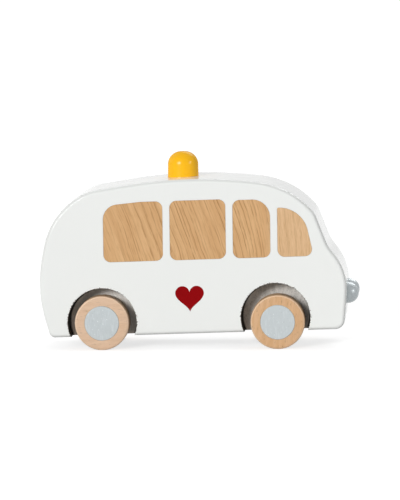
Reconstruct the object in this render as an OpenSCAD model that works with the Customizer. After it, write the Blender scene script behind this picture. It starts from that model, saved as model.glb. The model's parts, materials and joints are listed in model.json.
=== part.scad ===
// Toy ambulance: a solid painted wooden body on two turning wheel sets, with let-in wooden
// windows, a turned beacon on the roof and two turned headlights on the nose.
// +X is the front, +Y the left side and +Z up. The wheels stand on z = 0, and the origin lies
// below the middle of the whole length and width.
// Places on the body are taken from the rear axle, forwards and upwards, along and square to
// its bottom edge. The finished body is then tilted nose up about the rear axle.

/* [Stance] */
// Distance between the two axles
wheelbase = 100; // [92:0.5:112]
// Nose-up tilt of the body in degrees
rake = 1.35; // [0:0.05:1.7]
// How far the front axle lies ahead of the middle of its wheel arch
front_axle_lead = 1.2; // [0:0.1:2]

/* [Body] */
// Width over the flat sides
body_width = 58; // [50:0.5:72]
// Radius along the edges of both sides
edge_radius = 2.2; // [0.6:0.1:3]
// Bottom edge below the rear axle
floor_drop = 7.8; // [6.8:0.1:9.5]

/* [Tail] */
// Bottom rear corner behind the rear axle
tail_foot_back = 30; // [26:0.5:34]
// Radius of the bottom rear corner
tail_foot_radius = 3.5; // [2.3:0.1:6]
// Corner of the tail's bulge behind the rear axle
tail_bulge_back = 37; // [34:0.5:42]
// Corner of the tail's bulge above the rear axle
tail_bulge_height = 20; // [15:0.5:26]
// Radius of the tail's bulge
tail_bulge_radius = 76; // [30:1:90]

/* [Roof] */
// Corner of the roof's crown above the rear axle
roof_height = 82.5; // [78:0.1:92]
// Corner of the roof's crown ahead of the rear axle
crown_forward = 51.2; // [44:0.2:58]
// Radius of the roof's crown
crown_radius = 270; // [120:5:300]
// Corner of the rear shoulder behind the rear axle
shoulder_back = 28; // [24:0.1:31]
// Corner of the rear shoulder below the crown's corner
shoulder_drop = 21.3; // [18:0.1:25]
// Radius of the rear shoulder
shoulder_radius = 42.5; // [15:0.5:50]
// Corner of the roof's rear end behind the rear axle
roof_end_back = 7; // [4:0.5:10]
// Corner of the roof's rear end below the crown's corner
roof_end_drop = 7.8; // [6:0.1:10]
// Radius of the roof's rear end
roof_end_radius = 28; // [8:1:35]
// Corner of the brow behind the nose
brow_setback = 31.3; // [27:0.1:35]
// Corner of the brow below the crown's corner
brow_drop = 7.6; // [6:0.1:10]
// Radius of the brow
brow_radius = 49.5; // [20:0.5:60]

/* [Nose] */
// Nose ahead of the front axle
nose_overhang = 40.3; // [36:0.1:46]
// Corner at the windscreen's top behind the nose
screen_setback = 17.3; // [14:0.1:20]
// Corner at the windscreen's top above the rear axle
screen_height = 58.4; // [53:0.1:62]
// Radius at the windscreen's top
screen_radius = 11; // [4:0.5:16]
// Hollow corner at the windscreen's foot behind the nose
cowl_setback = 10.5; // [8.5:0.1:12]
// Hollow corner at the windscreen's foot above the rear axle
cowl_height = 39.3; // [36:0.1:43]
// Radius of the hollow at the windscreen's foot
cowl_radius = 21; // [5:0.5:25]
// Corner of the bonnet above the rear axle
bonnet_height = 25.7; // [22:0.1:30]
// Radius of the bonnet
bonnet_radius = 31.5; // [8:0.5:36]
// Corner of the chin behind the nose
chin_setback = 1; // [0:0.1:1.5]
// Corner of the chin above the rear axle
chin_height = 10.3; // [8:0.1:14]
// Radius of the chin
chin_radius = 90; // [20:5:120]
// Bottom front corner behind the nose
toe_setback = 2.9; // [1:0.1:4]
// Radius of the bottom front corner
toe_radius = 5.5; // [2.3:0.1:9]

/* [Wheels] */
// Diameter of a wheel
wheel_diameter = 30.8; // [26:0.2:33]
// Thickness of a wheel's rim
wheel_thickness = 13; // [9:0.5:16]
// Radius of a wheel's rounded edges
wheel_edge_radius = 1.2; // [0.5:0.1:3.5]
// How far the wheels stand out of the body's sides
wheel_proud = 3; // [0:0.5:5]
// Gap between a wheel's rim and the floor of its arch
wheel_gap = 1.5; // [1:0.1:3]
// Diameter of the boss on a wheel's inner face
boss_diameter = 13; // [10:0.5:16]
// Gap between a wheel's boss and the floor of its arch
boss_gap = 0.4; // [0.3:0.05:0.8]
// Gap around a wheel, added to its radius for the arch's radius
arch_gap = 4.3; // [4:0.1:6]

/* [Hub caps] */
// Diameter of a hub cap
cap_diameter = 19.6; // [15:0.2:22]
// Depth of the hub cap's seat in the wheel's outer face
cap_seat = 1.5; // [1:0.1:3]
// How far a hub cap stands out of the wheel
cap_proud = 0.4; // [0.2:0.05:1]
// Radius of a hub cap's rounded edge
cap_edge_radius = 0.35; // [0.1:0.05:0.6]

/* [Axles] */
// Diameter of an axle dowel
axle_diameter = 6; // [4:0.5:6.5]
// Running gap around an axle in the body
axle_clearance = 0.1; // [0.05:0.01:0.1]

/* [Windows] */
// Window sills above the rear axle
sill_height = 34.5; // [30:0.5:38]
// Window heads below the crown's corner
head_drop = 14.3; // [13:0.1:19]
// Thickness of the let-in window panels
window_thickness = 1.5; // [0.8:0.1:4]
// How far the window panels lie below the painted sides
window_recess = 0.2; // [0:0.05:0.5]
// Radius of the plain window corners
window_radius = 4; // [1:0.1:6]
// Width of the pillars between windows
pillar_width = 4.1; // [2.5:0.1:6]
// Lower rear corner of the rear window ahead of the rear axle
rear_window_start = 2.2; // [-4:0.1:6]
// Width of the rear window
rear_window_width = 33.8; // [26:0.2:38]
// How far ahead of its rear edge the rear window's head starts to fall
rear_window_fall_run = 21; // [14:0.5:25]
// How much lower the rear window's head is at its rear edge
rear_window_fall = 1.7; // [0:0.1:3]
// Radius of the rear window's upper rear corner
rear_window_radius = 8.6; // [2:0.1:9]
// Width of the third window
third_window_width = 21.2; // [16:0.2:24]
// Third window's head below the rear heads
third_window_drop = 0.7; // [0:0.1:3]
// Radius of the third window's upper front corner
third_window_radius = 10; // [2:0.1:12]
// Width of the quarter window along its sill
quarter_window_width = 20.4; // [17:0.2:22]
// Lower front corner of the quarter window behind the nose
quarter_window_setback = 18.7; // [17:0.1:24]
// Quarter window's head below the rear heads
quarter_window_drop = 5.8; // [3:0.1:8]
// How far the quarter window's front edge leans back over its height
quarter_window_lean = 6.2; // [3:0.1:7]
// Radius of the quarter window's upper front corner
quarter_window_radius = 17; // [6:0.5:18]
// Radius of the quarter window's upper rear corner
quarter_window_tip_radius = 0.8; // [0.3:0.1:2]

/* [Beacon] */
// Middle of the beacon ahead of the rear axle
beacon_forward = 47.3; // [35:0.1:60]
// Diameter of the beacon at its foot
beacon_diameter = 17.6; // [13:0.2:20]
// Height of the beacon above the roof
beacon_height = 14.4; // [11:0.2:18]
// How much narrower the beacon's radius is at the shoulder
beacon_taper = 0.2; // [0:0.1:1.2]
// Rise of the beacon's crown at its middle
beacon_crown = 0.4; // [0.2:0.1:1.5]
// Radius of the beacon's shoulder
beacon_radius = 7.5; // [2:0.1:8]
// Depth of the beacon's seat in the roof
beacon_seat = 0.8; // [0.7:0.1:2]
// Diameter of the beacon's peg
beacon_peg_diameter = 8; // [5:0.5:11]
// Length of the beacon's peg
beacon_peg_length = 12; // [8:0.5:20]

/* [Headlights] */
// Distance between the two headlights' middles
lamp_spacing = 22; // [20:0.5:34]
// Middles of the headlights above the rear axle
lamp_height = 11.3; // [7:0.1:14]
// Diameter of a headlight
lamp_diameter = 12; // [9:0.2:15]
// How far a headlight stands out of the nose
lamp_reach = 6.6; // [4:0.1:9]
// Depth of a headlight's seat in the nose
lamp_seat = 0.8; // [0.7:0.1:2]
// Diameter of a headlight's peg
lamp_peg_diameter = 5; // [3:0.5:7]
// Length of a headlight's peg
lamp_peg_length = 9; // [6:0.5:14]

/* [Fits] */
// Gap around glued pegs, caps and panels
glue_gap = 0.05; // [0.02:0.01:0.15]
// Spare depth below the pegs in their holes
peg_bottom_gap = 0.5; // [0.3:0.1:1.5]
// Small radius on turned edges and peg ends
turned_edge = 0.4; // [0.2:0.1:0.5]

/* [Hidden] */
// Largest distance between a round stretch and its points
curve_tolerance = 0.02;
// Steps across a rounded body edge
edge_steps = 4;
// How far a cut runs past the face that it opens
cut_margin = 1;
$fn = 96;

PAINT_WHITE = [0.93, 0.94, 0.93];
BARE_WOOD = [0.83, 0.67, 0.48];
WHEEL_WOOD = [0.86, 0.71, 0.55];
AXLE_WOOD = [0.80, 0.64, 0.45];
CAP_GREY = [0.78, 0.81, 0.82];
BEACON_YELLOW = [1.00, 0.74, 0.08];
LAMP_GREY = [0.59, 0.62, 0.63];

SIDES = ["right", "left"];
AXLES = ["rear", "front"];
WINDOWS = ["rear", "second", "third", "quarter"];

// Rounded outlines: each corner is [x, y, radius], listed clockwise
function turned(v, angle) =
    [v.x * cos(angle) - v.y * sin(angle), v.x * sin(angle) + v.y * cos(angle)];
function around(list, i) = list[(i + len(list)) % len(list)];
function place(corner) = [corner.x, corner.y];
function heading(corners, i) =
    let (step = place(around(corners, i + 1)) - place(around(corners, i)))
    step / norm(step);
function edge_length(corners, i) = norm(place(around(corners, i + 1)) - place(around(corners, i)));
function turn_angle(corners, i) =
    let (before = heading(corners, i - 1), after = heading(corners, i))
    atan2(cross(before, after), before * after);
function wanted_tangent(corners, i) = around(corners, i)[2] * tan(abs(turn_angle(corners, i)) / 2);

// Share of a corner's radius that its two edges have room for
function room(corners, i) =
    let (own = wanted_tangent(corners, i),
         before = own + wanted_tangent(corners, i - 1),
         after = own + wanted_tangent(corners, i + 1))
    min(1,
        before > 0 ? edge_length(corners, i - 1) / before : 1,
        after > 0 ? edge_length(corners, i) / after : 1);
function arc_steps(radius, angle) =
    max(1, ceil(abs(angle) / (2 * acos(max(0, 1 - curve_tolerance / radius)))));
function corner_points(corners, i, inset) =
    let (turn = turn_angle(corners, i),
         radius = around(corners, i)[2] * room(corners, i),
         at = place(corners[i]))
    radius == 0 ? [at] :
    let (hand = sign(turn),
         before = heading(corners, i - 1),
         start = at - before * radius * tan(abs(turn) / 2),
         middle = start + turned(before, hand * 90) * radius,
         spoke = (start - middle) * (radius + hand * inset) / radius,
         steps = arc_steps(radius, turn))
    [for (k = [0 : steps]) middle + turned(spoke, turn * k / steps)];
function outline(corners, inset = 0) =
    [for (i = [0 : len(corners) - 1]) each corner_points(corners, i, inset)];

// Where an outline's edges cross a given x or y
function crossings(points, axis, value) =
    [for (i = [0 : len(points) - 1])
        let (a = points[i], b = around(points, i + 1))
        if ((a[axis] <= value) != (b[axis] <= value))
            a[1 - axis] + (b[1 - axis] - a[1 - axis]) * (value - a[axis]) / (b[axis] - a[axis])];

// Stance
axle_height = wheel_diameter / 2;
front_axle = turned([wheelbase, 0], -rake);
arch_places = [[0, 0], [front_axle.x - front_axle_lead, 0]];
bore_places = [[0, 0], front_axle];
arch_radius = wheel_diameter / 2 + arch_gap;
arch_depth = wheel_thickness - wheel_proud + wheel_gap;
wheel_face = body_width / 2 + wheel_proud;

// Body outline
nose = wheelbase + nose_overhang;
window_head = roof_height - head_drop;
window_depth = window_recess + window_thickness;
body_corners = [
    [-tail_foot_back, -floor_drop, max(tail_foot_radius, edge_radius + curve_tolerance)],
    [-tail_bulge_back, tail_bulge_height, tail_bulge_radius],
    [-shoulder_back, roof_height - shoulder_drop, shoulder_radius],
    [-roof_end_back, roof_height - roof_end_drop, roof_end_radius],
    [crown_forward, roof_height, crown_radius],
    [nose - brow_setback, roof_height - brow_drop, brow_radius],
    [nose - screen_setback, screen_height, screen_radius],
    [nose - cowl_setback, cowl_height, cowl_radius],
    [nose, bonnet_height, bonnet_radius],
    [nose - chin_setback, chin_height, chin_radius],
    [nose - toe_setback, -floor_drop, toe_radius]
];
body_outline = outline(body_corners);
roof_at_beacon = max(crossings(body_outline, 0, beacon_forward));
nose_at_lamps = max(crossings(body_outline, 1, lamp_height));

// Window outlines, whose upright edges are plumb when the toy stands on its wheels
function plumb(x, height) = x + (height - sill_height) * tan(rake);
function sill_corner(x) = [x, sill_height, window_radius];
function head_corner(x, head, radius) = [plumb(x, head), head, radius];
quarter_end = nose - quarter_window_setback;
quarter_start = quarter_end - quarter_window_width;
third_head = window_head - third_window_drop;
quarter_head = window_head - quarter_window_drop;
third_end = quarter_start - pillar_width;
third_start = third_end - third_window_width;
second_end = third_start - pillar_width;
rear_end = rear_window_start + rear_window_width;
second_start = rear_end + pillar_width;
window_corners = [
    [
        sill_corner(rear_window_start),
        head_corner(rear_window_start, window_head - rear_window_fall, rear_window_radius),
        head_corner(rear_window_start + rear_window_fall_run, window_head, rear_window_fall_run),
        head_corner(rear_end, window_head, window_radius),
        sill_corner(rear_end)
    ],
    [
        sill_corner(second_start),
        head_corner(second_start, window_head, window_radius),
        head_corner(second_end, window_head, window_radius),
        sill_corner(second_end)
    ],
    [
        sill_corner(third_start),
        head_corner(third_start, third_head, window_radius),
        head_corner(third_end, third_head, third_window_radius),
        sill_corner(third_end)
    ],
    [
        sill_corner(quarter_start),
        head_corner(quarter_start, quarter_head, quarter_window_tip_radius),
        head_corner(quarter_end - quarter_window_lean, quarter_head, quarter_window_radius),
        sill_corner(quarter_end)
    ]
];

// The rear axle's place puts the origin below the middle of the whole length
lamp_dome = min(lamp_diameter / 2, lamp_reach);
lamp_tip = turned([nose_at_lamps + lamp_reach - lamp_dome, lamp_height], rake).x + lamp_dome;
tail_end = min([for (point = body_outline) turned(point, rake).x]);
rear_axle_x = -(lamp_tip + tail_end) / 2;
axle_x = [rear_axle_x, rear_axle_x + wheelbase];

module on_body() {
    translate([rear_axle_x, 0, axle_height]) rotate([0, -rake, 0]) children();
}

// Places children made for the right side on the named side
module on_side(side) {
    if (side == "right") children();
    else mirror([0, 1, 0]) children();
}

// Stands the XY plane up as the XZ plane, with Z pointing to the right
module upright() {
    rotate([90, 0, 0]) children();
}

// A slab of an outline in the right side, sunk by depth and standing out by proud
module side_slab(points, depth, proud = 0) {
    translate([0, depth - body_width / 2, 0]) upright() linear_extrude(depth + proud) polygon(points);
}

// The body's block, with both sides' edges rounded
module rounded_block() {
    stations = [
        for (k = [0 : edge_steps])
            let (angle = 90 * k / edge_steps)
            [edge_radius * (1 - cos(angle)) - body_width / 2, edge_radius * (1 - sin(angle))],
        for (k = [edge_steps : -1 : 0])
            let (angle = 90 * k / edge_steps)
            [body_width / 2 - edge_radius * (1 - cos(angle)), edge_radius * (1 - sin(angle))]
    ];
    count = len(body_outline);
    rings = len(stations);
    hub = [wheelbase / 2, roof_height / 2];
    points = [
        for (station = stations, point = outline(body_corners, station[1])) [point.x, station[0], point.y],
        [hub.x, -body_width / 2, hub.y],
        [hub.x, body_width / 2, hub.y]
    ];
    right_hub = count * rings;
    last_ring = count * (rings - 1);
    faces = [
        for (ring = [0 : rings - 2], i = [0 : count - 1])
            let (a = ring * count, j = (i + 1) % count)
            [a + i, a + j, a + count + j, a + count + i],
        for (i = [0 : count - 1]) [right_hub, (i + 1) % count, i],
        for (i = [0 : count - 1]) [right_hub + 1, last_ring + i, last_ring + (i + 1) % count]
    ];
    polyhedron(points, faces, convexity = 6);
}

// A round hole in the right side
module side_hole(place, radius, depth) {
    translate([place.x, depth - body_width / 2, place.y])
        upright() cylinder(r = radius, h = depth + cut_margin);
}

module at_beacon() {
    translate([beacon_forward, 0, roof_at_beacon - beacon_seat]) rotate([0, rake, 0]) children();
}

module at_lamp() {
    translate([nose_at_lamps - lamp_seat, -lamp_spacing / 2, lamp_height]) rotate([0, 90, 0]) children();
}

// A seat with a peg hole below it, opening along +Z
module peg_socket(seat_diameter, seat_depth, peg_diameter, peg_length) {
    depth = peg_length + peg_bottom_gap;
    cylinder(d = seat_diameter + 2 * glue_gap, h = seat_depth + seat_diameter);
    translate([0, 0, -depth]) cylinder(d = peg_diameter + 2 * glue_gap, h = depth + seat_depth);
}

module body() {
    color(PAINT_WHITE) on_body() difference() {
        rounded_block();
        for (side = SIDES) on_side(side) {
            for (place = arch_places) side_hole(place, arch_radius, arch_depth);
            for (corners = window_corners)
                side_slab(outline(corners, -glue_gap), window_depth, cut_margin);
            at_lamp() peg_socket(lamp_diameter, lamp_seat, lamp_peg_diameter, lamp_peg_length);
        }
        for (place = bore_places) side_hole(place, axle_diameter / 2 + axle_clearance, body_width + cut_margin);
        at_beacon() peg_socket(beacon_diameter, beacon_seat, beacon_peg_diameter, beacon_peg_length);
    }
}

module window_panel(corners) {
    color(BARE_WOOD) side_slab(outline(corners), window_depth, -window_recess);
}

module beacon() {
    foot = beacon_diameter / 2;
    peg = beacon_peg_diameter / 2;
    top = beacon_seat + beacon_height;
    color(BEACON_YELLOW) on_body() at_beacon() rotate_extrude() polygon(outline([
        [0, -beacon_peg_length, 0],
        [0, top, 0],
        [foot - beacon_taper, top - beacon_crown, beacon_radius],
        [foot, 0, turned_edge],
        [peg, 0, 0],
        [peg, -beacon_peg_length, turned_edge]
    ]));
}

module headlight() {
    radius = lamp_diameter / 2;
    peg = lamp_peg_diameter / 2;
    top = lamp_seat + lamp_reach;
    color(LAMP_GREY) on_body() at_lamp() rotate_extrude() polygon(outline([
        [0, -lamp_peg_length, 0],
        [0, top, 0],
        [radius, top, lamp_dome],
        [radius, 0, turned_edge],
        [peg, 0, 0],
        [peg, -lamp_peg_length, turned_edge]
    ]));
}

module axle() {
    length = 2 * (wheel_face - cap_seat);
    color(AXLE_WOOD) upright() cylinder(d = axle_diameter, h = length, center = true);
}

// A wheel on the right side, its outer face at the wheel face
module wheel() {
    bore = axle_diameter / 2 + glue_gap;
    boss = boss_diameter / 2;
    rim = wheel_diameter / 2;
    seat = cap_diameter / 2 + glue_gap;
    color(WHEEL_WOOD) translate([0, -wheel_face, 0]) upright() rotate_extrude() polygon(outline([
        [bore, -wheel_thickness - wheel_gap + boss_gap, 0],
        [bore, -cap_seat, 0],
        [seat, -cap_seat, 0],
        [seat, 0, 0],
        [rim, 0, wheel_edge_radius],
        [rim, -wheel_thickness, wheel_edge_radius],
        [boss, -wheel_thickness, 0],
        [boss, -wheel_thickness - wheel_gap + boss_gap, turned_edge]
    ]));
}

// A hub cap in the right side's wheel
module hub_cap() {
    radius = cap_diameter / 2;
    color(CAP_GREY) translate([0, -wheel_face, 0]) upright() rotate_extrude() polygon(outline([
        [0, -cap_seat, 0],
        [0, cap_proud, 0],
        [radius, cap_proud, cap_edge_radius],
        [radius, -cap_seat, 0]
    ]));
}

module on_axle(i) {
    translate([axle_x[i], 0, axle_height]) children();
}

body();
beacon();
for (side = SIDES) {
    on_side(side) headlight();
    for (i = [0 : len(WINDOWS) - 1])
        on_side(side) on_body() window_panel(window_corners[i]);
}
for (i = [0 : len(AXLES) - 1]) {
    on_axle(i) axle();
    for (side = SIDES) {
        on_axle(i) on_side(side) wheel();
        on_axle(i) on_side(side) hub_cap();
    }
}
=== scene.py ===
"""Looks of the toy ambulance: painted body, bare wood windows and wheels, turned and painted knobs."""
import json
import math

import bmesh
import bpy
from mathutils import Matrix, Vector


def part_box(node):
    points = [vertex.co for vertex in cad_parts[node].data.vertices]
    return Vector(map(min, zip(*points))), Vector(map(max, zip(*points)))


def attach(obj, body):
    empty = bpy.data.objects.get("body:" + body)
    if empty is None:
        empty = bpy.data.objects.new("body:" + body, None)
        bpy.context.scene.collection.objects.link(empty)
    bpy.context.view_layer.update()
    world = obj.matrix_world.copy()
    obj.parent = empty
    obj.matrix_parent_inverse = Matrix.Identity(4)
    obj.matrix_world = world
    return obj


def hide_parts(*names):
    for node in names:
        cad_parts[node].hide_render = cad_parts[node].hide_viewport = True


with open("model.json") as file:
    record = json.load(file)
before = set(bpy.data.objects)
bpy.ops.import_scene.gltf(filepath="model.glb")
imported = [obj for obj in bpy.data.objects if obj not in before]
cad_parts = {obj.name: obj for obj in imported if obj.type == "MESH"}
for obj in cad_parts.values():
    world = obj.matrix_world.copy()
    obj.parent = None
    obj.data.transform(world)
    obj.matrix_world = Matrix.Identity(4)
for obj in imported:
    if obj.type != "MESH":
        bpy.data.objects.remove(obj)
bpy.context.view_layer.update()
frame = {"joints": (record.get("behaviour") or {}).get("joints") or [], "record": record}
scene = bpy.context.scene

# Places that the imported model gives, in metres
MM = 0.001
places = {joint["name"]: Vector(joint["pos_m"]) for joint in frame["joints"]}
REAR_AXLE = places["rear_wheels_roll"]
FRONT_AXLE = places["front_wheels_roll"]
underside = frame["record"]["mounts"][0]["axis"]
RAKE = math.atan2(underside[0], -underside[2])

# Sizes in millimetres, taken from the rear axle, forwards and upwards, along the body's bottom edge
HALF_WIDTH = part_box("body")[1].y / MM
FLOOR_DROP = 7.8
NOSE = 140.3
ROOF = 82.5

# Corners of the body's outline as (forwards, upwards, radius), clockwise from the tail's foot
BODY_CORNERS = [
    (-30, -FLOOR_DROP, 3.5),  # tail's foot
    (-37, 20, 76),  # tail's bulge
    (-28, ROOF - 21.3, 42.5),  # rear shoulder
    (-7, ROOF - 7.8, 28),  # roof's rear end
    (51.2, ROOF, 270),  # roof's crown
    (NOSE - 31.3, ROOF - 7.6, 49.5),  # brow
    (NOSE - 17.3, 58.4, 11),  # windscreen's top
    (NOSE - 10.5, 39.3, 21),  # windscreen's foot
    (NOSE, 25.7, 31.5),  # bonnet
    (NOSE - 1, 10.3, 90),  # chin
    (NOSE - 2.9, -FLOOR_DROP, 5.5),  # nose's foot
]
EDGE_RADIUS = 2.2

# Wheel arches, with a small radius on the lip and another at the back wall
WHEELBASE = (FRONT_AXLE.x - REAR_AXLE.x) / MM
FRONT_AXLE_X = WHEELBASE * math.cos(RAKE)
FRONT_AXLE_Z = -WHEELBASE * math.sin(RAKE)
FRONT_ARCH_SETBACK = 1.2
ARCH_PLACES = [0, FRONT_AXLE_X - FRONT_ARCH_SETBACK]
BORE_PLACES = [(0, 0), (FRONT_AXLE_X, FRONT_AXLE_Z)]
ARCH_RADIUS = 19.7
ARCH_DEPTH = 11.5
ARCH_LIP = 0.4
ARCH_FILLET = 0.6
BORE_RADIUS = 3.1

# Windows, whose upright edges are plumb when the toy stands on its wheels
SILL = 34.5
HEAD = 68.2
WINDOW_RECESS = 0.2
WINDOW_DEPTH = WINDOW_RECESS + 1.5
WINDOW_RADIUS = 4
PAINT_LIP = 0.15
PANEL_EDGE = 0.12
GLUE_GAP = 0.05

# Printed mark on both sides
MARK_PLACE = (50.4, 12.2)
MARK_WIDTH = 16.3
MARK_THICKNESS = 0.04

# Beacon and headlights
BEACON_FORWARD = 47.3
BEACON_SEAT = 0.8
LAMP_SPACING = 22
LAMP_HEIGHT = 11.3
LAMP_SEAT = 0.8

# How finely curves are cut
CURVE_TOLERANCE = 0.004
EDGE_STEPS = 8
SMALL_EDGE_STEPS = 4
ARCH_STEPS = 72
BORE_STEPS = 64
HEART_STEPS = 160
LATHE_SEGMENTS = 144
SHARP_ANGLE = math.radians(32)
FLAT_FACE_WEIGHT = 100

# How close places count as one, and how far past an arch its faces and edges are looked for
SAME_PLACE = 1e-6
MERGE_DISTANCE = 0.0001
FACE_SLACK = 0.01
ARCH_MARGIN = 1


# Outlines of (x, z, radius) corners, listed clockwise
def turn_at(corners, i):
    """Direction of the edge before corner i, and the angle that the outline turns there."""
    last, here, next_one = (Vector(corners[(i + k) % len(corners)][:2]) for k in (-1, 0, 1))
    before = (here - last).normalized()
    after = (next_one - here).normalized()
    return before, math.atan2(before.x * after.y - before.y * after.x, before.dot(after))


def tangent_length(corners, i):
    """Length of the edges that corner i's radius asks for."""
    i %= len(corners)
    return corners[i][2] * math.tan(abs(turn_at(corners, i)[1]) / 2)


def fitted_radius(corners, i):
    """Corner i's radius, limited to what its two edges have room for."""
    own = tangent_length(corners, i)
    share = 1
    for neighbour in (i - 1, (i + 1) % len(corners)):
        edge = (Vector(corners[i][:2]) - Vector(corners[neighbour][:2])).length
        wanted = own + tangent_length(corners, neighbour)
        if wanted > 0:
            share = min(share, edge / wanted)
    return corners[i][2] * share


def rounded(corners, inset=0):
    """Points of the rounded outline, moved inwards by inset."""
    points = []
    for i in range(len(corners)):
        at = Vector(corners[i][:2])
        radius = fitted_radius(corners, i)
        if radius == 0:
            points.append(at)
            continue
        before, turn = turn_at(corners, i)
        hand = math.copysign(1, turn)
        start = at - before * radius * math.tan(abs(turn) / 2)
        middle = start + Vector((-before.y, before.x)) * hand * radius
        spoke = (start - middle) * (radius + hand * inset) / radius
        step = 2 * math.acos(1 - CURVE_TOLERANCE / radius)
        steps = max(2, math.ceil(abs(turn) / step))
        points += [middle + Matrix.Rotation(turn * k / steps, 2) @ spoke for k in range(steps + 1)]
    return points


def quarter_arc(radius, depth):
    """How far a rounded edge of that radius falls back at a depth below its face."""
    if depth >= radius:
        return 0
    return radius - math.sqrt(radius**2 - (radius - depth) ** 2)


def edge_depths(radius, steps=EDGE_STEPS):
    """Depths at even angles over a rounded edge of that radius."""
    return [radius * (1 - math.cos(math.pi / 2 * k / steps)) for k in range(steps + 1)]


def highest(points, axis, value):
    """The largest other coordinate at which a closed outline crosses value."""
    found = []
    for a, b in zip(points, points[1:] + points[:1]):
        if (a[axis] <= value) != (b[axis] <= value):
            share = (value - a[axis]) / (b[axis] - a[axis])
            found.append(a[1 - axis] + (b[1 - axis] - a[1 - axis]) * share)
    return max(found)


def window_corners():
    """The four windows of a side, from the rear."""
    def corner(x, z, radius=WINDOW_RADIUS):
        return (x + (z - SILL) * math.tan(RAKE), z, radius)

    def four_sided(start, end, head=HEAD, top_radius=WINDOW_RADIUS):
        return [corner(start, SILL), corner(start, head), corner(end, head, top_radius), corner(end, SILL)]

    pillar = 4.1
    rear_start, rear_width, rear_radius = 2.2, 33.8, 8.6
    fall_run, fall = 21, 1.7
    third_width, third_head, third_radius = 21.2, HEAD - 0.7, 10
    quarter_setback, quarter_width, quarter_head, lean = 18.7, 20.4, HEAD - 5.8, 6.2
    quarter_rear_radius, quarter_front_radius = 0.8, 17
    rear_end = rear_start + rear_width
    quarter_end = NOSE - quarter_setback
    quarter_start = quarter_end - quarter_width
    third_start = quarter_start - pillar - third_width
    rear = four_sided(rear_start, rear_end)
    rear[1:2] = [
        corner(rear_start, HEAD - fall, rear_radius),
        corner(rear_start + fall_run, HEAD, fall_run),
    ]
    quarter = [
        corner(quarter_start, SILL),
        corner(quarter_start, quarter_head, quarter_rear_radius),
        corner(quarter_end - lean, quarter_head, quarter_front_radius),
        corner(quarter_end, SILL),
    ]
    return {
        "rear": rear,
        "second": four_sided(rear_end + pillar, third_start - pillar),
        "third": four_sided(third_start, third_start + third_width, third_head, third_radius),
        "quarter": quarter,
    }


BODY_OUTLINE = rounded(BODY_CORNERS)
BODY_MATRIX = Matrix.Translation(REAR_AXLE) @ Matrix.Rotation(-RAKE, 4, "Y") @ Matrix.Scale(MM, 4)
SIDES = {"right": -1, "left": 1}


# Meshes
def ring(bm, points, y):
    """New vertices at the points of an upright outline."""
    return [bm.verts.new((x, y, z)) for x, z in points]


def bridge(bm, first, second):
    """Faces between two closed rings of as many vertices."""
    count = len(first)
    for i in range(count):
        j = (i + 1) % count
        corners = [first[i], first[j], second[j], second[i]]
        kept = [v for k, v in enumerate(corners) if v is not corners[k - 1]]
        bm.faces.new(kept)


def open_edges(bm, y, near=None, reach=0):
    """Edges with one face that lie in an upright plane, or only those within reach of a place."""
    def inside(v):
        return abs(v.co.y - y) < SAME_PLACE and (near is None or math.hypot(v.co.x - near, v.co.z) < reach)

    return [e for e in bm.edges if len(e.link_faces) == 1 and all(inside(v) for v in e.verts)]


def slab(bm, corners, side, front, back, edge):
    """A slab of an outline in one side, its front face front mm below that side, its front edge rounded."""
    def y_at(depth):
        return side * (HALF_WIDTH - depth)

    rings = [
        ring(bm, rounded(corners, quarter_arc(edge, d)), y_at(front + d))
        for d in edge_depths(edge, SMALL_EDGE_STEPS)
    ]
    rings.append(ring(bm, rounded(corners), y_at(back)))
    for first, second in zip(rings, rings[1:]):
        bridge(bm, first, second)
    bm.faces.new(rings[0])
    bm.faces.new(rings[-1])


def lathe(bm, profile):
    """A turned solid about Z from a closed profile of (radius, height) points."""
    rings = []
    for radius, height in profile:
        if radius < SAME_PLACE:
            rings.append([bm.verts.new((0, 0, height))] * LATHE_SEGMENTS)
            continue
        turns = [2 * math.pi * k / LATHE_SEGMENTS for k in range(LATHE_SEGMENTS)]
        rings.append([bm.verts.new((radius * math.cos(t), radius * math.sin(t), height)) for t in turns])
    for first, second in zip(rings, rings[1:] + rings[:1]):
        if first[0] is first[1] and second[0] is second[1]:
            continue
        bridge_turned(bm, first, second)


def bridge_turned(bm, first, second):
    """Faces between two turned rings, either of which may be one point."""
    for i in range(LATHE_SEGMENTS):
        j = (i + 1) % LATHE_SEGMENTS
        corners = []
        for vertex in (first[i], first[j], second[j], second[i]):
            if vertex not in corners:
                corners.append(vertex)
        bm.faces.new(corners)


def make_piece(name, bm, matrix, materials, body, node):
    """Adds a shown piece that rides on a body and stands for a node, if one is given."""
    bmesh.ops.remove_doubles(bm, verts=bm.verts, dist=MERGE_DISTANCE)
    bmesh.ops.recalc_face_normals(bm, faces=bm.faces)
    bm.transform(matrix)
    mesh = bpy.data.meshes.new(name)
    bm.to_mesh(mesh)
    bm.free()
    for material in materials:
        mesh.materials.append(material)
    mesh.shade_smooth()
    mesh.set_sharp_from_angle(angle=SHARP_ANGLE)
    piece = bpy.data.objects.new(name, mesh)
    scene.collection.objects.link(piece)
    weighted = piece.modifiers.new("flat_faces_first", "WEIGHTED_NORMAL")
    weighted.keep_sharp = True
    weighted.weight = FLAT_FACE_WEIGHT
    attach(piece, body)
    if node:
        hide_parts(node)


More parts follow.
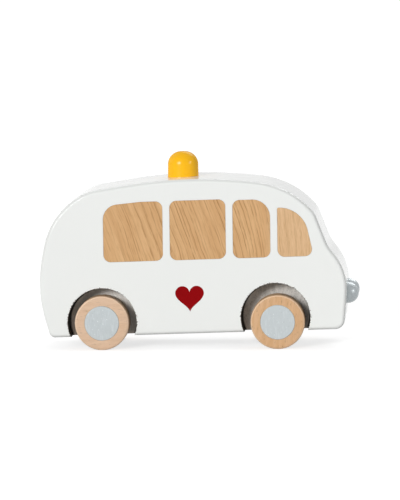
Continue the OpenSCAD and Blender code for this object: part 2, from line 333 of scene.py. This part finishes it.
# Materials
class Shading:
    """One material's nodes. Most methods add a node and give back its output."""

    # Sockets of a Mix node that has colours
    MIX_SHARE, MIX_FIRST, MIX_SECOND, MIX_RESULT = 0, 6, 7, 2

    def __init__(self, name):
        self.material = bpy.data.materials.new(name)
        self.material.use_nodes = True
        self.tree = self.material.node_tree
        self.shader = self.tree.nodes["Principled BSDF"]

    def put(self, socket, value):
        if isinstance(value, bpy.types.NodeSocket):
            self.tree.links.new(value, socket)
        else:
            socket.default_value = value

    def add(self, kind, inputs=None, **settings):
        node = self.tree.nodes.new("ShaderNode" + kind)
        for name, value in settings.items():
            setattr(node, name, value)
        for name, value in (inputs or {}).items():
            self.put(node.inputs[name], value)
        return node

    def set(self, **values):
        for name, value in values.items():
            self.put(self.shader.inputs[name.replace("_", " ")], value)

    def math(self, operation, *values):
        node = self.add("Math", operation=operation)
        for socket, value in zip(node.inputs, values):
            self.put(socket, value)
        return node.outputs[0]

    def times(self, first, second):
        return self.math("MULTIPLY", first, second)

    def plus(self, first, second):
        return self.math("ADD", first, second)

    def spread(self, value, low, high, to_low=0.0, to_high=1.0):
        """Smoothly maps low..high to to_low..to_high."""
        inputs = {
            "Value": value, "From Min": low, "From Max": high, "To Min": to_low, "To Max": to_high,
        }
        return self.add("MapRange", inputs, interpolation_type="SMOOTHSTEP").outputs["Result"]

    def mix(self, share, first, second):
        node = self.add("Mix", data_type="RGBA")
        for index, value in ((self.MIX_SHARE, share), (self.MIX_FIRST, first), (self.MIX_SECOND, second)):
            self.put(node.inputs[index], value)
        return node.outputs[self.MIX_RESULT]

    def millimetres(self):
        """The place on the surface in the piece's own space."""
        own = self.add("TexCoord").outputs["Object"]
        return self.add("VectorMath", {"Vector": own, "Scale": 1 / MM}, operation="SCALE").outputs[0]

    def split(self, vector):
        return self.add("SeparateXYZ", {"Vector": vector}).outputs

    def sideways(self):
        """How far the surface faces either side, from 0 to 1."""
        return self.math("ABSOLUTE", self.split(self.add("TexCoord").outputs["Normal"])["Y"])

    def edges(self):
        """1 on the rounded edges between a side and what runs round it, 0 elsewhere."""
        facing = self.sideways()
        return self.times(self.spread(facing, 0.3, 0.75), self.spread(facing, 0.85, 0.985, 1.0, 0.0))

    def vector(self, x, y, z):
        return self.add("CombineXYZ", {"X": x, "Y": y, "Z": z}).outputs[0]

    def stretched(self, vector, scale):
        return self.add("Mapping", {"Vector": vector, "Scale": scale}).outputs[0]

    def noise(self, vector, scale=1.0, detail=2.0, roughness=0.5):
        inputs = {"Vector": vector, "Scale": scale, "Detail": detail, "Roughness": roughness}
        return self.add("TexNoise", inputs).outputs["Fac"]

    def lines(self, place, spacing, width):
        """Thin lines about spacing mm apart along a length, each of its own strength."""
        core, faintest = 0.1, 0.45
        inputs = {"W": place, "Scale": 1 / spacing, "Randomness": 1.0}
        cells = self.add("TexVoronoi", inputs, voronoi_dimensions="1D").outputs
        line = self.spread(cells["Distance"], core * width / spacing, width / spacing, 1.0, 0.0)
        own = self.add("SeparateColor", {"Color": cells["Color"]}).outputs["Red"]
        return self.times(line, self.spread(own, 0.1, 0.9, faintest, 1.0))

    def bump(self, height, distance, strength=1.0, under=None):
        inputs = {"Height": height, "Distance": distance * MM, "Strength": strength}
        if under is not None:
            inputs["Normal"] = under
        return self.add("Bump", inputs).outputs[0]


def grey(value):
    return (value, value, value, 1)


def darker(colour, share):
    return tuple(c * (1 - share) for c in colour[:3]) + (1,)


# Colours of the paints
OFF_WHITE = (0.885, 0.9, 0.88, 1)
# Grey of the painted shade along the body's rounded edges
EDGE_SHADE_WHITE = (0.62, 0.625, 0.61, 1)
CHIP_BROWN = (0.12, 0.105, 0.09, 1)
# Near-black of the painted shade on the arches' walls and in their corners
ARCH_SHADE_BLACK = (0.022, 0.021, 0.019, 1)
ARCH_SPECKS = (0.2, 0.185, 0.165, 1)
ARCH_BACK_DARK = (0.6, 0.58, 0.54, 1)
ARCH_BACK_LIGHT = (0.86, 0.825, 0.775, 1)
# Lighter back of the rear arch, painted light
ARCH_BACK_REAR_LIT = (0.92, 0.88, 0.82, 1)
BEACON_YELLOW = (0.985, 0.51, 0.003, 1)
LAMP_SILVER = (0.5, 0.545, 0.56, 1)
CAP_GREY = (0.575, 0.625, 0.64, 1)
CAP_BRUSHED = (0.7, 0.75, 0.77, 1)
CAP_GLINT = (0.88, 0.92, 0.94, 1)
MARK_RED = (0.275, 0.002, 0.004, 1)
MARK_SHEEN = (1, 0.1, 0.1, 1)

# Colours of the bare beech, a light and a deep one for each kind of wheel
WINDOW_LIGHT = (0.73, 0.452, 0.222, 1)
WINDOW_DEEP = (0.65, 0.378, 0.172, 1)
WINDOW_PALE = (0.77, 0.52, 0.3, 1)
WINDOW_FIBRE = (0.52, 0.285, 0.11, 1)
WINDOW_FLECK = (0.44, 0.225, 0.075, 1)
WINDOW_HAIR = (0.42, 0.215, 0.075, 1)
WINDOW_LINE = (0.35, 0.165, 0.045, 1)
# Darker, browner beech of the painted shade round the wheels' treads
WHEEL_TREAD_SHADE = (0.66, 0.4, 0.21, 1)
# Paler beech of the painted highlight on the wheels' rounded edges
WHEEL_EDGE_HIGHLIGHT = (0.93, 0.72, 0.53, 1)
PINK_BEECH = ((0.75, 0.525, 0.365, 1), (0.695, 0.467, 0.305, 1))
TAN_BEECH = ((0.715, 0.448, 0.25, 1), (0.64, 0.375, 0.185, 1))


def paint(name, colour, roughness, mottling, peel):
    """Paint over sanded wood, and its colour: faint mottling, a fine peel and the grain just showing."""
    broad_share, grain_share, unevenness = 0.7, 0.3, 0.02
    s = Shading(name)
    place = s.millimetres()
    broad = s.noise(place, scale=0.03, detail=3)
    grain = s.noise(s.stretched(place, (1.2, 1.2, 0.05)), detail=3)
    tone = s.plus(s.times(broad, broad_share), s.times(grain, grain_share))
    shade = s.mix(s.spread(tone, 0.3, 0.7), darker(colour, mottling), colour)
    patches = s.noise(place, scale=0.12, detail=3)
    rough = s.spread(patches, 0.3, 0.7, roughness - unevenness, roughness + unevenness)
    fine_peel = s.bump(s.noise(place, scale=1.3), distance=peel)
    normal = s.bump(grain, distance=peel, strength=0.5, under=fine_peel)
    s.set(Base_Color=shade, Roughness=rough, Normal=normal)
    return s, shade


def rim_distance(s, place):
    """Distance from the nearer arch's rim, in millimetres."""
    at = s.split(place)
    distances = []
    for arch_x in ARCH_PLACES:
        middle = BODY_MATRIX @ Vector((arch_x, 0, 0)) / MM
        across = s.math("POWER", s.math("SUBTRACT", at["X"], middle.x), 2.0)
        upwards = s.math("POWER", s.math("SUBTRACT", at["Z"], middle.z), 2.0)
        distances.append(s.math("SQRT", s.plus(across, upwards)))
    return s.math("SUBTRACT", s.math("MINIMUM", *distances), ARCH_RADIUS)


def body_paint():
    """Satin off-white, with painted shade greying the rounded edges, most on the upper ones, and chips at
    the arches' rims.
    """
    edge_shade_share, chip_share = 0.4, 0.85
    chip_start, chip_full = HALF_WIDTH - 1.2, HALF_WIDTH - 0.6
    s, shade = paint("body_paint", OFF_WHITE, roughness=0.13, mottling=0.008, peel=0.001)
    place = s.millimetres()
    at = s.split(place)
    # Painted shade: the rounded edges are greyed, more strongly the higher they are
    thin = s.times(s.edges(), s.spread(at["Z"], 30.0, 62.0, 0.2, 1.0))
    shade = s.mix(s.times(thin, edge_shade_share), shade, EDGE_SHADE_WHITE)
    reach = s.spread(s.noise(place, scale=0.9, detail=4, roughness=0.65), 0.46, 0.72, 0.0, 1.1)
    chip = s.spread(s.math("SUBTRACT", reach, rim_distance(s, place)), -0.05, 0.12)
    chip = s.times(chip, s.spread(s.math("ABSOLUTE", at["Y"]), chip_start, chip_full))
    s.set(Base_Color=s.mix(s.times(chip, chip_share), shade, CHIP_BROWN), Specular_IOR_Level=0.14)
    return s.material


def arch_paint():
    """Wheel arches: painted shade turns the wall and a band of the back along its rim nearly black; the
    back is streaky, and painted lighter in the rear arch.
    """
    s = Shading("arch_paint")
    place = s.millimetres()
    streaks = s.noise(s.stretched(place, (0.55, 0.4, 0.16)), detail=5, roughness=0.65)
    specks = s.noise(place, scale=1.3, detail=4, roughness=0.7)
    back = s.mix(s.spread(streaks, 0.3, 0.72), ARCH_BACK_DARK, ARCH_BACK_LIGHT)
    # Painted light: the rear arch's back is painted lighter, with fewer dark specks, than the front's
    ahead = s.spread(s.split(place)["X"], -20.0, 20.0)
    back = s.mix(s.spread(ahead, 0.0, 1.0, 0.6, 0.0), back, ARCH_BACK_REAR_LIT)
    speckled = s.times(s.spread(specks, 0.5, 0.72), s.spread(ahead, 0.0, 1.0, 0.3, 0.6))
    back = s.mix(speckled, back, ARCH_SPECKS)
    # Painted shade: a near-black band on the back wall along the rim, and the wall itself near-black
    shade = s.mix(s.spread(rim_distance(s, place), -1.4, -0.4), back, ARCH_SHADE_BLACK)
    shade = s.mix(s.spread(s.sideways(), 0.35, 0.85), ARCH_SHADE_BLACK, shade)
    rough = s.spread(streaks, 0.3, 0.7, 0.6, 0.8)
    s.set(Base_Color=shade, Roughness=rough, Normal=s.bump(specks, distance=0.06), Specular_IOR_Level=0.2)
    return s.material


def window_wood():
    """Bare beech of leaning grain: plain at the rear, close in the middle, short and upright ahead."""
    middle_height, rear_lean, front_lean, bow = 66.0, 0.345, 0.05, 0.0014
    side_shift, wave, hair_shift = 0.37, 2.2, 40.0
    rear_strength, front_strength = 0.1, 0.42
    line_share, fleck_share, fibre_share, pale_share = 0.78, 0.32, 0.26, 0.75
    s = Shading("window_wood")
    at = s.split(s.millimetres())
    height = s.math("SUBTRACT", at["Z"], middle_height)
    lean = s.plus(s.spread(at["X"], 8.0, 60.0, rear_lean, front_lean), s.times(height, bow))
    across = s.plus(s.plus(at["X"], s.times(at["Y"], side_shift)), s.times(height, lean))

    def drawn_out(place, fine, long):
        """Noise drawn out along the grain."""
        return s.noise(s.vector(s.times(place, fine), at["Y"], s.times(at["Z"], long)))

    waved = s.plus(across, s.times(drawn_out(across, 0.09, 0.06), wave))
    rear = s.spread(at["X"], -48.0, -39.0, rear_strength, 1.0)
    front = s.spread(at["X"], 36.0, 46.0, 1.0, front_strength)
    breaks = s.spread(drawn_out(waved, 0.6, 0.13), 0.34, 0.54, 0.25, 1.0)
    line = s.times(s.times(s.lines(waved, spacing=2.3, width=0.46), breaks), s.times(rear, front))
    hair = s.lines(s.plus(waved, hair_shift), spacing=1.5, width=0.4)
    hair = s.times(hair, s.spread(drawn_out(waved, 0.9, 0.16), 0.42, 0.6))
    hair = s.times(hair, s.spread(front, front_strength, 1.0, 0.34, 0.42))
    fleck = s.spread(drawn_out(waved, 1.5, 0.16), 0.56, 0.7)
    fibre = drawn_out(waved, 1.7, 0.12)
    base = s.mix(s.spread(drawn_out(waved, 0.2, 0.02), 0.3, 0.7), WINDOW_LIGHT, WINDOW_DEEP)
    base = s.mix(s.spread(front, 0.5, 1.0, pale_share, 0.0), base, WINDOW_PALE)
    base = s.mix(s.spread(fibre, 0.35, 0.7, 0.0, fibre_share), base, WINDOW_FIBRE)
    base = s.mix(s.times(fleck, fleck_share), base, WINDOW_FLECK)
    base = s.mix(hair, base, WINDOW_HAIR)
    shade = s.mix(s.times(line, line_share), base, WINDOW_LINE)
    pores = s.plus(s.times(line, -0.3), s.times(fibre, 0.4))
    rough = s.spread(fibre, 0.3, 0.7, 0.5, 0.62)
    s.set(Base_Color=shade, Roughness=rough, Normal=s.bump(pores, distance=0.02), Specular_IOR_Level=0.3)
    return s.material


def wheel_wood(name, shift, grain_turn, light, deep, flecks):
    """Bare beech turned from its own piece of plank, with a painted highlight on its rounded edges and
    painted shade, darker and browner, round the tread.
    """
    cloud_share, fibre_share, tread_shade_share, edge_highlight_share = 0.5, 0.3, 0.6, 0.5
    s = Shading(name)
    turned = {"Vector": s.millimetres(), "Location": shift, "Rotation": (0, math.radians(grain_turn), 0)}
    place = s.add("Mapping", turned).outputs[0]
    streaks = s.noise(s.stretched(place, (0.07, 0.5, 0.55)), detail=3)
    fibre = s.noise(s.stretched(place, (0.28, 2.6, 2.6)))
    dash = s.spread(s.noise(s.stretched(place, (0.32, 1.5, 1.5))), 0.62, 0.7)
    clouds = s.noise(place, scale=0.11)
    base = s.mix(s.spread(streaks, 0.32, 0.68), light, deep)
    base = s.mix(s.spread(clouds, 0.45, 0.7, 0.0, cloud_share), base, darker(light, 0.07))
    base = s.mix(s.spread(fibre, 0.45, 0.75, 0.0, fibre_share), base, darker(deep, 0.22))
    base = s.mix(s.times(dash, flecks), base, darker(deep, 0.5))
    # Painted shade: the tread is darkened and browned
    base = s.mix(s.spread(s.sideways(), 0.1, 0.4, tread_shade_share, 0.0), base, WHEEL_TREAD_SHADE)
    # Painted highlight: the rounded edges are paled
    shade = s.mix(s.times(s.edges(), edge_highlight_share), base, WHEEL_EDGE_HIGHLIGHT)
    rough = s.spread(fibre, 0.3, 0.7, 0.44, 0.58)
    s.set(Base_Color=shade, Roughness=rough, Normal=s.bump(fibre, distance=-0.012), Specular_IOR_Level=0.35)
    return s.material


def beacon_paint():
    """Yellow under a thin clear gloss, a little deeper where it ran thin."""
    s, _ = paint("beacon_paint", BEACON_YELLOW, roughness=0.4, mottling=0.05, peel=0.002)
    s.set(Specular_IOR_Level=0.0, Coat_Weight=0.2, Coat_IOR=2.0, Coat_Roughness=0.22)
    return s.material


def lamp_paint():
    """Silver-grey gloss."""
    s, _ = paint("lamp_paint", LAMP_SILVER, roughness=0.38, mottling=0.06, peel=0.002)
    s.set(Metallic=0.45)
    return s.material


def cap_paint():
    """Satin blue-grey brushed on end grain, with a few dull specks and a few painted glints."""
    brushed_share, dull_share, bright_share = 0.5, 0.4, 0.8
    s, shade = paint("cap_paint", CAP_GREY, roughness=0.3, mottling=0.05, peel=0.006)
    place = s.millimetres()
    brushed = s.noise(s.stretched(place, (0.9, 0.9, 0.2)), detail=3)
    shade = s.mix(s.spread(brushed, 0.5, 0.75, 0.0, brushed_share), shade, CAP_BRUSHED)
    dull = s.spread(s.noise(place, scale=1.5), 0.64, 0.74, 0.0, dull_share)
    shade = s.mix(dull, shade, darker(CAP_GREY, 0.35))
    # Painted glints: a few bright specks standing for small highlights
    bright = s.spread(s.noise(s.stretched(place, (0.95, 0.95, 0.8))), 0.66, 0.74, 0.0, bright_share)
    s.set(Base_Color=s.mix(bright, shade, CAP_GLINT))
    return s.material


def mark_print():
    """Dark red print."""
    s, _ = paint("mark_print", MARK_RED, roughness=0.4, mottling=0.1, peel=0.004)
    s.set(Specular_Tint=MARK_SHEEN, Specular_IOR_Level=0.3)
    return s.material


# Pieces
def arch_at(depth):
    """Radius of the arches at a depth below the side."""
    inner = max(0, depth - (ARCH_DEPTH - ARCH_FILLET))
    fillet = ARCH_FILLET - math.sqrt(ARCH_FILLET**2 - inner**2)
    return ARCH_RADIUS + quarter_arc(ARCH_LIP, depth) - fillet


def arch_points(arch_x, radius, bottom):
    """An arch from its front foot over its top to its rear foot."""
    low = math.asin(bottom / radius)
    angles = [low + (math.pi - 2 * low) * k / ARCH_STEPS for k in range(ARCH_STEPS + 1)]
    return [Vector((arch_x + radius * math.cos(a), radius * math.sin(a))) for a in angles]


def body_ring(bm, side, depth):
    """The body's outline at a depth below one side, running over both arches."""
    inset = quarter_arc(EDGE_RADIUS, depth)
    loop = rounded(BODY_CORNERS, inset)
    for arch_x in reversed(ARCH_PLACES):
        loop += arch_points(arch_x, arch_at(depth), inset - FLOOR_DROP)
    return ring(bm, loop, side * (HALF_WIDTH - depth))


def below_arches(bm, arched):
    """The ring at the arches' back walls, with the arches left out along the bottom edge."""
    plain = list(arched)
    outline_count = len(BODY_OUTLINE)
    for arch in range(len(ARCH_PLACES)):
        first = outline_count + arch * (ARCH_STEPS + 1)
        start, end = arched[first].co, arched[first + ARCH_STEPS].co
        for k in range(1, ARCH_STEPS):
            plain[first + k] = bm.verts.new(start.lerp(end, k / ARCH_STEPS))
    return plain


def bore_points(x, z):
    """A bore's rim about a place."""
    turns = [2 * math.pi * k / BORE_STEPS for k in range(BORE_STEPS)]
    return [Vector((x + BORE_RADIUS * math.cos(t), z + BORE_RADIUS * math.sin(t))) for t in turns]


def in_arch(centre):
    """Whether a face of the body lies in a wheel arch."""
    depth = HALF_WIDTH - abs(centre.y)
    if not ARCH_LIP / 2 < depth < ARCH_DEPTH + FACE_SLACK:
        return False
    return any(math.hypot(centre.x - x, centre.z) < ARCH_RADIUS + FACE_SLACK for x in ARCH_PLACES)


def make_body():
    """The block from rings at depths below each side, then its window pockets, bores and flat faces."""
    bm = bmesh.new()
    lip_depths = edge_depths(ARCH_LIP, SMALL_EDGE_STEPS)
    fillet_depths = [
        ARCH_DEPTH - ARCH_FILLET + ARCH_FILLET * math.sin(math.pi / 2 * k / SMALL_EDGE_STEPS)
        for k in range(SMALL_EDGE_STEPS + 1)
    ]
    depths = sorted({*edge_depths(EDGE_RADIUS), *lip_depths, *fillet_depths})
    inner_rings = []
    bores = []
    for side in SIDES.values():
        rings = [body_ring(bm, side, depth) for depth in depths]
        for first, second in zip(rings, rings[1:]):
            bridge(bm, first, second)
        inner_rings.append(below_arches(bm, rings[-1]))
        for corners in window_corners().values():
            pocket = [
                ring(bm, rounded(corners, -GLUE_GAP - quarter_arc(PAINT_LIP, d)), side * (HALF_WIDTH - d))
                for d in [*edge_depths(PAINT_LIP, SMALL_EDGE_STEPS), WINDOW_DEPTH]
            ]
            for first, second in zip(pocket, pocket[1:]):
                bridge(bm, first, second)
            bm.faces.new(pocket[-1])
        wall = side * (HALF_WIDTH - ARCH_DEPTH)
        bores.append([ring(bm, bore_points(x, z), wall) for x, z in BORE_PLACES])
    bridge(bm, *inner_rings)
    for first, second in zip(*bores):
        bridge(bm, first, second)
    for side in SIDES.values():
        bmesh.ops.triangle_fill(bm, edges=open_edges(bm, side * HALF_WIDTH), use_beauty=True)
        for arch_x in ARCH_PLACES:
            wall = open_edges(bm, side * (HALF_WIDTH - ARCH_DEPTH), arch_x, ARCH_RADIUS + ARCH_MARGIN)
            bmesh.ops.triangle_fill(bm, edges=wall, use_beauty=True)
    for face in bm.faces:
        face.material_index = int(in_arch(face.calc_center_median()))
    paints = [body_paint(), arch_paint()]
    make_piece("painted_body", bm, BODY_MATRIX, paints, "body", "body")


def make_windows(material):
    for side_name, side in SIDES.items():
        for window, corners in window_corners().items():
            bm = bmesh.new()
            slab(bm, corners, side, WINDOW_RECESS, WINDOW_DEPTH, PANEL_EDGE)
            node = f"{side_name}_{window}_window"
            make_piece(f"{node}_panel", bm, BODY_MATRIX, [material], "body", node)


def heart_points(width):
    """A heart of that width, clockwise, about the middle of its height, from a common heart curve."""
    half_width, lift = 16, 2.5
    points = []
    for k in range(HEART_STEPS):
        t = 2 * math.pi * k / HEART_STEPS
        x = half_width * math.sin(t) ** 3
        z = 13 * math.cos(t) - 5 * math.cos(2 * t) - 2 * math.cos(3 * t) - math.cos(4 * t)
        points.append(Vector((x, z + lift)) * width / (2 * half_width))
    return points


def make_marks(material):
    for side_name, side in SIDES.items():
        bm = bmesh.new()
        points = [Vector(MARK_PLACE) + point for point in heart_points(MARK_WIDTH)]
        outer = ring(bm, points, side * (HALF_WIDTH + MARK_THICKNESS))
        inner = ring(bm, points, side * HALF_WIDTH)
        bridge(bm, outer, inner)
        bm.faces.new(outer)
        bm.faces.new(inner)
        make_piece(f"{side_name}_heart_print", bm, BODY_MATRIX, [material], "body", None)


def make_beacon(material):
    radius, height, crown, taper, shoulder = 8.8, 14.4, 0.4, 0.2, 7.5
    peg, peg_length, turned_edge = 4, 12, 0.4
    top = BEACON_SEAT + height
    profile = rounded([
        (0, -peg_length, 0),
        (0, top, 0),
        (radius - taper, top - crown, shoulder),
        (radius, 0, turned_edge),
        (peg, 0, 0),
        (peg, -peg_length, turned_edge),
    ])
    roof = highest(BODY_OUTLINE, 0, BEACON_FORWARD)
    seat = Vector((BEACON_FORWARD, 0, roof - BEACON_SEAT))
    matrix = BODY_MATRIX @ Matrix.Translation(seat) @ Matrix.Rotation(RAKE, 4, "Y")
    bm = bmesh.new()
    lathe(bm, profile)
    make_piece("beacon_knob", bm, matrix, [material], "body", "beacon")


def make_lamps(material):
    radius, reach = 6, 6.6
    peg, peg_length, turned_edge = 2.5, 9, 0.4
    top = LAMP_SEAT + reach
    profile = rounded([
        (0, -peg_length, 0),
        (0, top, 0),
        (radius, top, radius),
        (radius, 0, turned_edge),
        (peg, 0, 0),
        (peg, -peg_length, turned_edge),
    ])
    nose = highest(BODY_OUTLINE, 1, LAMP_HEIGHT)
    for side_name, side in SIDES.items():
        seat = Vector((nose - LAMP_SEAT, side * LAMP_SPACING / 2, LAMP_HEIGHT))
        matrix = BODY_MATRIX @ Matrix.Translation(seat) @ Matrix.Rotation(math.pi / 2, 4, "Y")
        bm = bmesh.new()
        lathe(bm, profile)
        node = f"{side_name}_headlight"
        make_piece(f"{node}_knob", bm, matrix, [material], "body", node)


def outwards(axle, side):
    """Turns Z to point out of one side at an axle."""
    return Matrix.Translation(axle) @ Matrix.Rotation(-side * math.pi / 2, 4, "X") @ Matrix.Scale(MM, 4)


# Each turned piece's plank: its place, the angle of its grain, two colours and the share of flecks
AXLE_PLANK = ((14, 3, 9), 0, *TAN_BEECH, 0.4)
WHEEL_PLANKS = {
    "rear_right": ((0, 31, 22), 4, *PINK_BEECH, 0.35),
    "rear_left": ((60, 9, 31), 70, *TAN_BEECH, 0.4),
    "front_right": ((25, 12, 40), 82, *TAN_BEECH, 0.75),
    "front_left": ((90, 26, 17), 25, *PINK_BEECH, 0.4),
}


def make_wheel_sets():
    thickness, edge, bore, axle_radius = 13, 1.2, 3.05, 3
    boss, boss_height, turned_edge = 6.5, 1.1, 0.4
    seat, seat_edge = 9.85, 0.12
    cap_seat, cap_proud, cap_edge, dimple, dimple_depth = 1.5, 0.4, 0.35, 0.7, 0.25
    wheel_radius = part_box("rear_right_wheel")[1].z / MM / 2
    face = -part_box("rear_right_wheel")[0].y / MM
    wheel_profile = rounded([
        (bore, face - thickness - boss_height, 0),
        (bore, face - cap_seat, 0),
        (seat, face - cap_seat, 0),
        (seat, face, seat_edge),
        (wheel_radius, face, edge),
        (wheel_radius, face - thickness, edge),
        (boss, face - thickness, 0),
        (boss, face - thickness - boss_height, turned_edge),
    ])
    cap_profile = rounded([
        (0, face - cap_seat, 0),
        (0, face + cap_proud - dimple_depth, 0),
        (dimple, face + cap_proud, dimple / 2),
        (seat - GLUE_GAP, face + cap_proud, cap_edge),
        (seat - GLUE_GAP, face - cap_seat, 0),
    ])
    axle_end = face - cap_seat
    axle_profile = [(0, -axle_end), (0, axle_end), (axle_radius, axle_end), (axle_radius, -axle_end)]
    caps = cap_paint()
    dowel = wheel_wood("axle_wood", *AXLE_PLANK)
    for end, axle in (("rear", REAR_AXLE), ("front", FRONT_AXLE)):
        body = f"{end}_wheel_set"
        bm = bmesh.new()
        lathe(bm, axle_profile)
        make_piece(f"{end}_axle_dowel", bm, outwards(axle, 1), [dowel], body, f"{end}_axle")
        for side_name, side in SIDES.items():
            name = f"{end}_{side_name}"
            wood = wheel_wood(f"{name}_wheel_wood", *WHEEL_PLANKS[name])
            bm = bmesh.new()
            lathe(bm, wheel_profile)
            matrix = outwards(axle, side)
            make_piece(f"{name}_wheel_turned", bm, matrix, [wood], body, f"{name}_wheel")
            bm = bmesh.new()
            lathe(bm, cap_profile)
            make_piece(f"{name}_hub_disc", bm, matrix, [caps], body, f"{name}_hub_cap")


make_body()
make_windows(window_wood())
make_marks(mark_print())
make_beacon(beacon_paint())
make_lamps(lamp_paint())
make_wheel_sets()


# Stage, whose floor looks as white as the room where no shadow falls and reaches past every view
FLOOR_GLOW = 0.72
FLOOR_HALF_WIDTH = 30


def make_floor():
    half = FLOOR_HALF_WIDTH
    mesh = bpy.data.meshes.new("floor")
    corners = [(-half, -half, 0), (half, -half, 0), (half, half, 0), (-half, half, 0)]
    mesh.from_pydata(corners, [], [(0, 1, 2, 3)])
    s = Shading("floor")
    path = s.add("LightPath").outputs
    mirrored = s.math("MAXIMUM", path["Is Glossy Ray"], path["Is Transmission Ray"])
    seen = s.math("MAXIMUM", path["Is Camera Ray"], mirrored)
    s.set(Base_Color=grey(0.5), Roughness=0.9, Specular_IOR_Level=0.0)
    s.set(Emission_Color=grey(1), Emission_Strength=s.times(seen, FLOOR_GLOW))
    mesh.materials.append(s.material)
    floor = bpy.data.objects.new("floor", mesh)
    scene.collection.objects.link(floor)


def make_sun(name, azimuth, elevation, light, spread):
    """A distant soft lamp. Azimuth 0 shines from the photographed side, 90 from the front."""
    lamp = bpy.data.lights.new(name, "SUN")
    lamp.energy = light * math.pi
    lamp.angle = math.radians(spread)
    a, e = math.radians(azimuth), math.radians(elevation)
    towards = Vector((math.sin(a) * math.cos(e), -math.cos(a) * math.cos(e), math.sin(e)))
    sun = bpy.data.objects.new(name, lamp)
    sun.rotation_euler = towards.to_track_quat("Z", "Y").to_euler()
    scene.collection.objects.link(sun)


def make_world(light):
    """A plain white room, dimmer for what it lights than for what sees it."""
    world = bpy.data.worlds.new("studio")
    world.use_nodes = True
    nodes, links = world.node_tree.nodes, world.node_tree.links
    path = nodes.new("ShaderNodeLightPath")
    seen = nodes.new("ShaderNodeMath")
    seen.operation = "MAXIMUM"
    links.new(path.outputs["Is Camera Ray"], seen.inputs[0])
    also = nodes.new("ShaderNodeMath")
    also.operation = "MAXIMUM"
    links.new(path.outputs["Is Glossy Ray"], also.inputs[0])
    links.new(path.outputs["Is Transmission Ray"], also.inputs[1])
    links.new(also.outputs[0], seen.inputs[1])
    strength = nodes.new("ShaderNodeMapRange")
    strength.inputs["To Min"].default_value = light
    strength.inputs["To Max"].default_value = 1
    links.new(seen.outputs[0], strength.inputs["Value"])
    background = nodes["Background"]
    background.inputs["Color"].default_value = grey(1)
    links.new(strength.outputs["Result"], background.inputs["Strength"])
    scene.world = world


def make_camera():
    """The photograph's long lens, a little ahead of and above the toy."""
    place = Vector((140.1, -2154.165, 253.535)) * MM
    azimuth, elevation, roll = math.radians(3.7386), math.radians(5.2833), math.radians(-0.8)
    focal_length, sensor_width = 271.6, 36
    back = Vector((
        math.sin(azimuth) * math.cos(elevation),
        -math.cos(azimuth) * math.cos(elevation),
        math.sin(elevation),
    ))
    right = Vector((math.cos(azimuth), math.sin(azimuth), 0))
    up = back.cross(right)
    x_axis = right * math.cos(roll) + up * math.sin(roll)
    y_axis = up * math.cos(roll) - right * math.sin(roll)
    data = bpy.data.cameras.new("camera")
    data.lens = focal_length
    data.sensor_width = sensor_width
    camera = bpy.data.objects.new("camera", data)
    turn = Matrix((x_axis, y_axis, back)).transposed().to_4x4()
    camera.matrix_world = Matrix.Translation(place) @ turn
    scene.collection.objects.link(camera)
    scene.camera = camera


make_floor()
make_sun("key", azimuth=-28, elevation=15, light=0.67, spread=20)
make_sun("fill", azimuth=61, elevation=17, light=0.15, spread=16)
make_sun("tail", azimuth=-120, elevation=30, light=0.1, spread=60)
make_sun("far", azimuth=160, elevation=42, light=0.31, spread=36)
make_world(light=0.27)
make_camera()
scene.view_settings.view_transform = "Standard"
